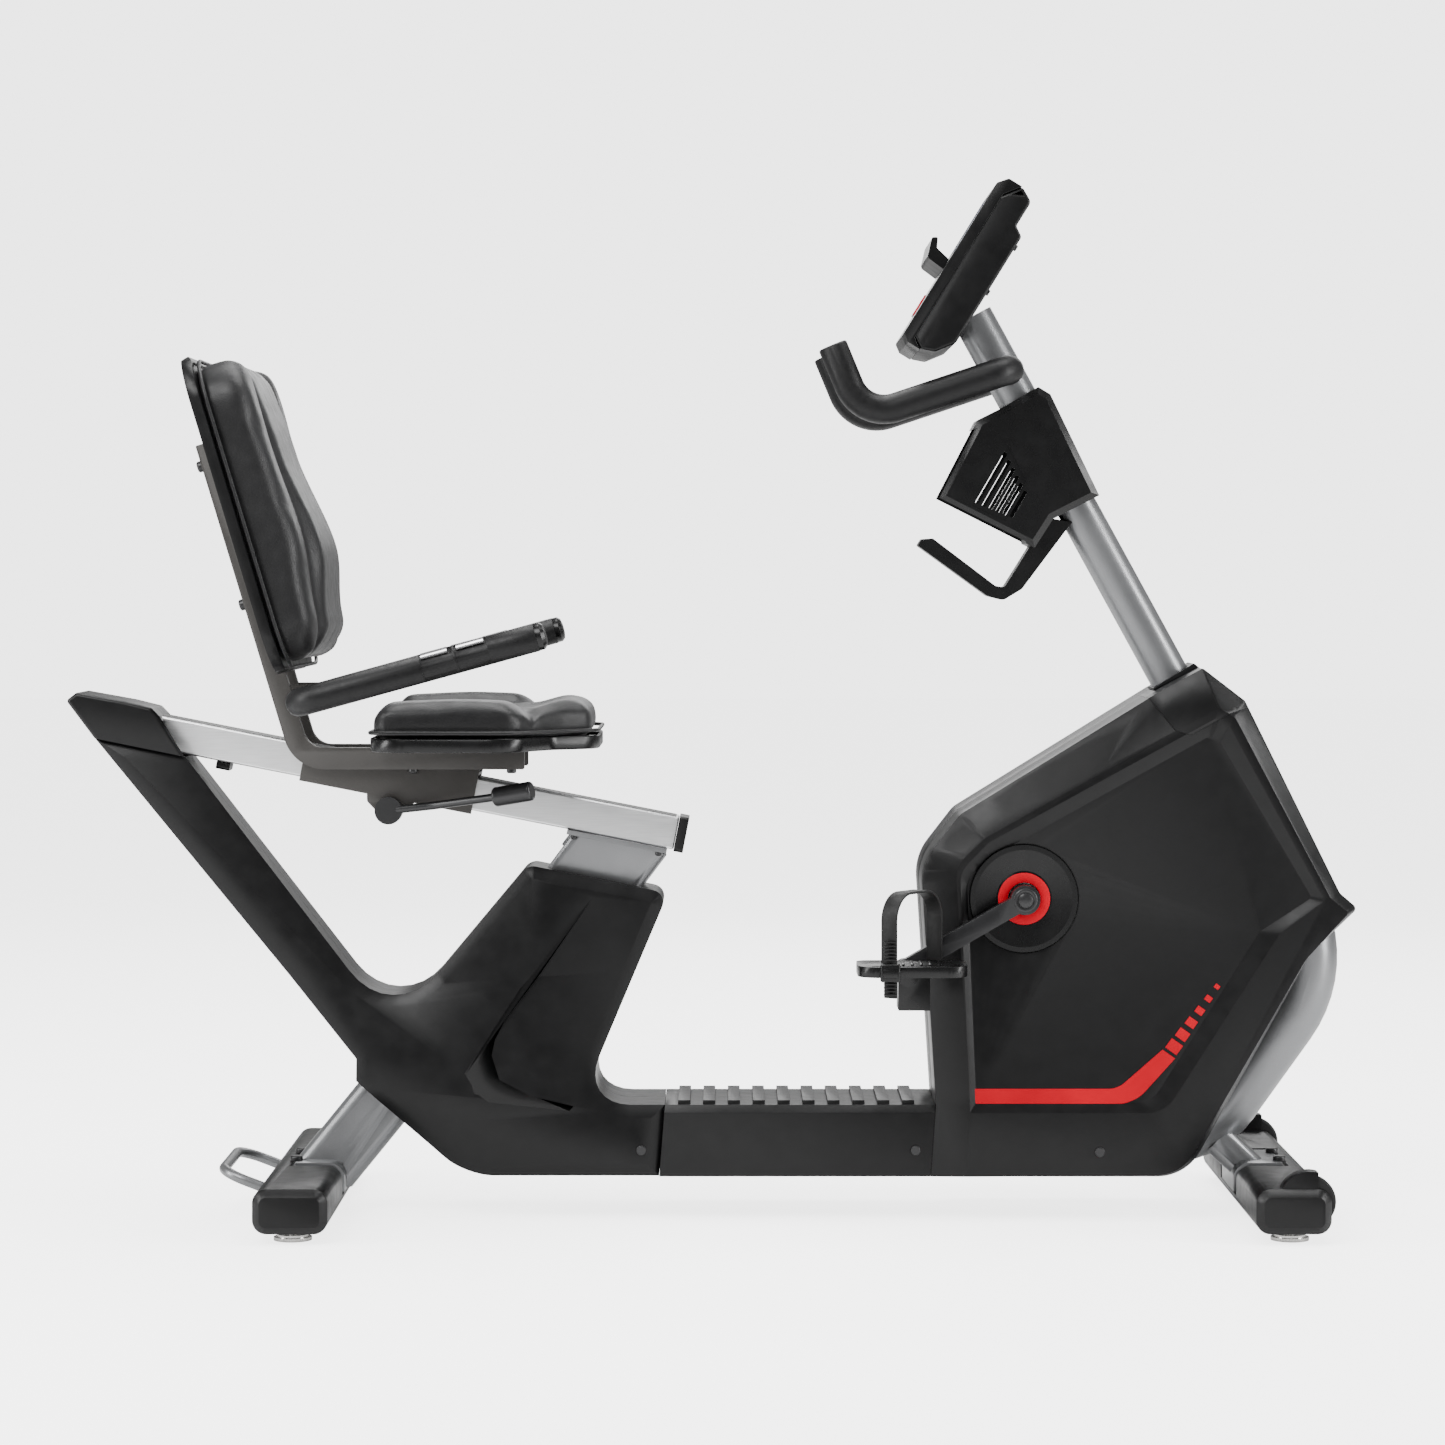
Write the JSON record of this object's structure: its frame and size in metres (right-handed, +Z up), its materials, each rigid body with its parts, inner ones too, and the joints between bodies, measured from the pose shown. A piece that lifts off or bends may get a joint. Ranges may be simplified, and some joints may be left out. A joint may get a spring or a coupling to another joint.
{
  "type": "recumbent exercise bike",
  "caption": "Recumbent exercise bike with a sliding padded seat, belt-driven cranks with strapped pedals, moulded covers, a mast with a display, front and side grips and transport wheels.",
  "frame": {"origin": "on the floor, under the middle of the bike's length and width", "axes": "+X towards the display end, +Y to the rider's left, +Z up"},
  "size_m": [1.5915, 0.5652, 1.2773],
  "materials": {
    "belt": "ribbed belt",
    "bolt_black": "black oxide",
    "contact_chrome": "polished",
    "cover_black": "fine-grained satin black moulding",
    "foam": "soft black foam",
    "frame_paint": "satin mid-grey powder coat",
    "iron": "plain turned",
    "key_red": "red key",
    "key_white": "pale key",
    "nylon": "natural nylon",
    "rail_silver": "silver anodised extrusion",
    "rubber": "black rubber",
    "screen": "blue display",
    "seat_paint": "satin dark grey powder coat",
    "steel": "bright turned steel",
    "trim_arm": "satin black forged arm",
    "trim_black": "smooth black moulding",
    "vinyl": "dark grey grained vinyl"
  },
  "bodies": {
    "frame": {"base_frame": "frame_paint", "rear_stabilizer": "frame_paint", "front_stabilizer": "frame_paint", "rear_stabilizer_cover": "cover_black", "front_stabilizer_cover": "cover_black", "seat_rail": "rail_silver", "rail_stops": "cover_black", "rear_cap": "cover_black", "rear_cover_right": "cover_black", "rear_cover_left": "cover_black", "deck_cover": "cover_black", "shroud_right": "cover_black", "shroud_left": "cover_black", "mast_collar": "cover_black", "crank_covers": "trim_black", "fasteners": "bolt_black", "mast": "frame_paint", "bottle_holder": "cover_black", "handlebar": "frame_paint", "handlebar_grip": "foam", "console_back": "cover_black", "console_front": "trim_black", "console_screen": "screen", "media_shelf": "cover_black", "power_inlet": "trim_black", "crank_bearings": "steel", "flywheel_axle": "steel", "drive_belt": "belt"},
    "crank": {"crank_spindle": "steel", "crank_pulley": "nylon", "crank_arm_right": "trim_arm", "crank_arm_left": "trim_arm"},
    "right_pedal": {"pedal_right": "cover_black", "pedal_strap_right": "rubber"},
    "left_pedal": {"pedal_left": "cover_black", "pedal_strap_left": "rubber"},
    "flywheel_body": {"flywheel": "iron"},
    "tensioner": {"idler_arm": "steel"},
    "idler": {"idler_pulley": "nylon"},
    "brake": {"magnet_bracket": "steel"},
    "seat": {"seat_carriage": "seat_paint", "carriage_glides": "nylon", "seat_frame": "seat_paint", "seat_pan": "cover_black", "seat_cushion": "vinyl", "back_shell": "cover_black", "back_cushion": "vinyl", "seat_handlebar": "seat_paint", "seat_grips": "foam", "pulse_sensors": "contact_chrome", "seat_bolts": "bolt_black"},
    "lever": {"lock_lever": "bolt_black"},
    "rear_right_foot": {"foot_rear_right": "steel"},
    "rear_left_foot": {"foot_rear_left": "steel"},
    "front_right_foot": {"foot_front_right": "steel"},
    "front_left_foot": {"foot_front_left": "steel"},
    "right_wheel": {"transport_wheel_right": "rubber"},
    "left_wheel": {"transport_wheel_left": "rubber"},
    "start": {"start_key": "key_red"},
    "level": {"level_key": "key_white"}
  },
  "joints": [
    {"name": "crank_spin", "type": "hinge", "parent": "frame", "child": "crank", "pos_m": [0.388, 0, 0.399], "axis": [0, 1, 0], "continuous": true},
    {"name": "pedal_right_spin", "type": "hinge", "parent": "crank", "child": "right_pedal", "pos_m": [0.23989, -0.185, 0.31555], "axis": [0, 1, 0], "continuous": true},
    {"name": "pedal_left_spin", "type": "hinge", "parent": "crank", "child": "left_pedal", "pos_m": [0.53611, 0.185, 0.48245], "axis": [0, 1, 0], "continuous": true},
    {"name": "flywheel_spin", "type": "hinge", "parent": "frame", "child": "flywheel_body", "pos_m": [0.584, 0, 0.29], "axis": [0, 1, 0], "continuous": true},
    {"name": "tensioner_swing", "type": "hinge", "parent": "frame", "child": "tensioner", "pos_m": [0.44146, 0, 0.24172], "axis": [0, 1, 0], "range_deg": [0, 8], "stiffness_Nm_per_rad": 4, "springref_deg": -17.19},
    {"name": "idler_spin", "type": "hinge", "parent": "tensioner", "child": "idler", "pos_m": [0.50346, 0.028, 0.25572], "axis": [0, 1, 0], "continuous": true},
    {"name": "brake_swing", "type": "hinge", "parent": "frame", "child": "brake", "pos_m": [0.48201, 0, 0.33121], "axis": [0, -1, 0], "range_deg": [0, 10]},
    {"name": "seat_slide", "type": "slide", "parent": "frame", "child": "seat", "axis": [0.9813, 0, -0.1925], "range_m": [-0.11, 0.15]},
    {"name": "lock_lever_swing", "type": "hinge", "parent": "seat", "child": "lever", "pos_m": [-0.396, 0, 0.505], "axis": [0, 1, 0], "range_deg": [0, 25], "stiffness_Nm_per_rad": 3, "springref_deg": -14.32},
    {"name": "rear_right_foot_screw", "type": "slide", "parent": "frame", "child": "rear_right_foot", "axis": [0, 0, 1], "range_m": [-0.012, 0]},
    {"name": "rear_left_foot_screw", "type": "slide", "parent": "frame", "child": "rear_left_foot", "axis": [0, 0, 1], "range_m": [-0.012, 0]},
    {"name": "front_right_foot_screw", "type": "slide", "parent": "frame", "child": "front_right_foot", "axis": [0, 0, 1], "range_m": [-0.012, 0]},
    {"name": "front_left_foot_screw", "type": "slide", "parent": "frame", "child": "front_left_foot", "axis": [0, 0, 1], "range_m": [-0.012, 0]},
    {"name": "right_wheel_spin", "type": "hinge", "parent": "frame", "child": "right_wheel", "pos_m": [0.717, -0.252, 0.05], "axis": [0, 1, 0], "continuous": true},
    {"name": "left_wheel_spin", "type": "hinge", "parent": "frame", "child": "left_wheel", "pos_m": [0.717, 0.252, 0.05], "axis": [0, 1, 0], "continuous": true},
    {"name": "start_press", "type": "slide", "parent": "frame", "child": "start", "axis": [0.8508, 0, -0.5255], "range_m": [0, 0.0015], "stiffness_N_per_m": 400, "springref_m": -0.002},
    {"name": "level_press", "type": "slide", "parent": "frame", "child": "level", "axis": [0.8508, 0, -0.5255], "range_m": [0, 0.0015], "stiffness_N_per_m": 400, "springref_m": -0.002}
  ],
  "couplings": [
    {"joint": "flywheel_spin", "follows": "crank_spin", "ratio": 6.4706},
    {"joint": "idler_spin", "follows": "crank_spin", "ratio": -5.5}
  ]
}
